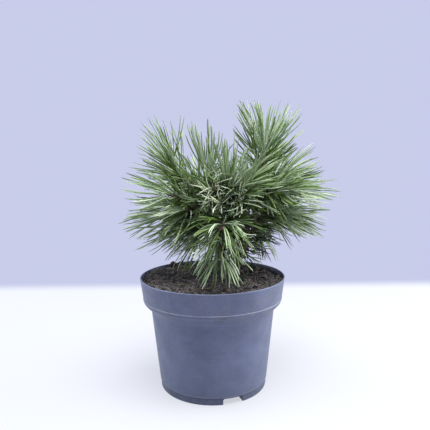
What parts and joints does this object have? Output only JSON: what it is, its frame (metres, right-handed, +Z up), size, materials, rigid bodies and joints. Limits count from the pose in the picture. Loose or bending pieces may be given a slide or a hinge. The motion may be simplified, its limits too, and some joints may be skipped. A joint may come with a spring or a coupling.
{
  "type": "potted moseri scots pine",
  "caption": "Dwarf pine shrub with a leaning trunk, forking boughs and long needle tufts, growing in a round plastic nursery pot filled with potting mix.",
  "frame": {"origin": "centre of the pot's flat underside, on the surface the pot stands on", "axes": "+Z up, +X to the right and +Y away from the viewer of the reference view"},
  "size_m": [0.2825, 0.2774, 0.3764],
  "materials": {
    "pot_plastic": "dusty blue-black injection-moulded plastic",
    "potting_mix": "crumbly dark brown peat and bark",
    "bark": "rough scaly brown bark",
    "needles": "satin grey-green needles"
  },
  "bodies": {
    "root": {"pot": "pot_plastic", "potting_mix": "potting_mix", "trunk": "bark", "bough_leader": "bark", "bough_left_low": "bark", "bough_right_rear": "bark", "bough_front_low": "bark", "bough_left": "bark", "bough_right_low": "bark", "bough_rear_left": "bark", "bough_rear_right": "bark", "bough_front": "bark", "bough_rear": "bark", "bough_upper_left": "bark", "bough_upper_right": "bark", "needles_leader": "needles", "needles_left_low": "needles", "needles_right_rear": "needles", "needles_front_low": "needles", "needles_left": "needles", "needles_right_low": "needles", "needles_rear_left": "needles", "needles_rear_right": "needles", "needles_front": "needles", "needles_rear": "needles", "needles_upper_left": "needles", "needles_upper_right": "needles"}
  },
  "joints": []
}
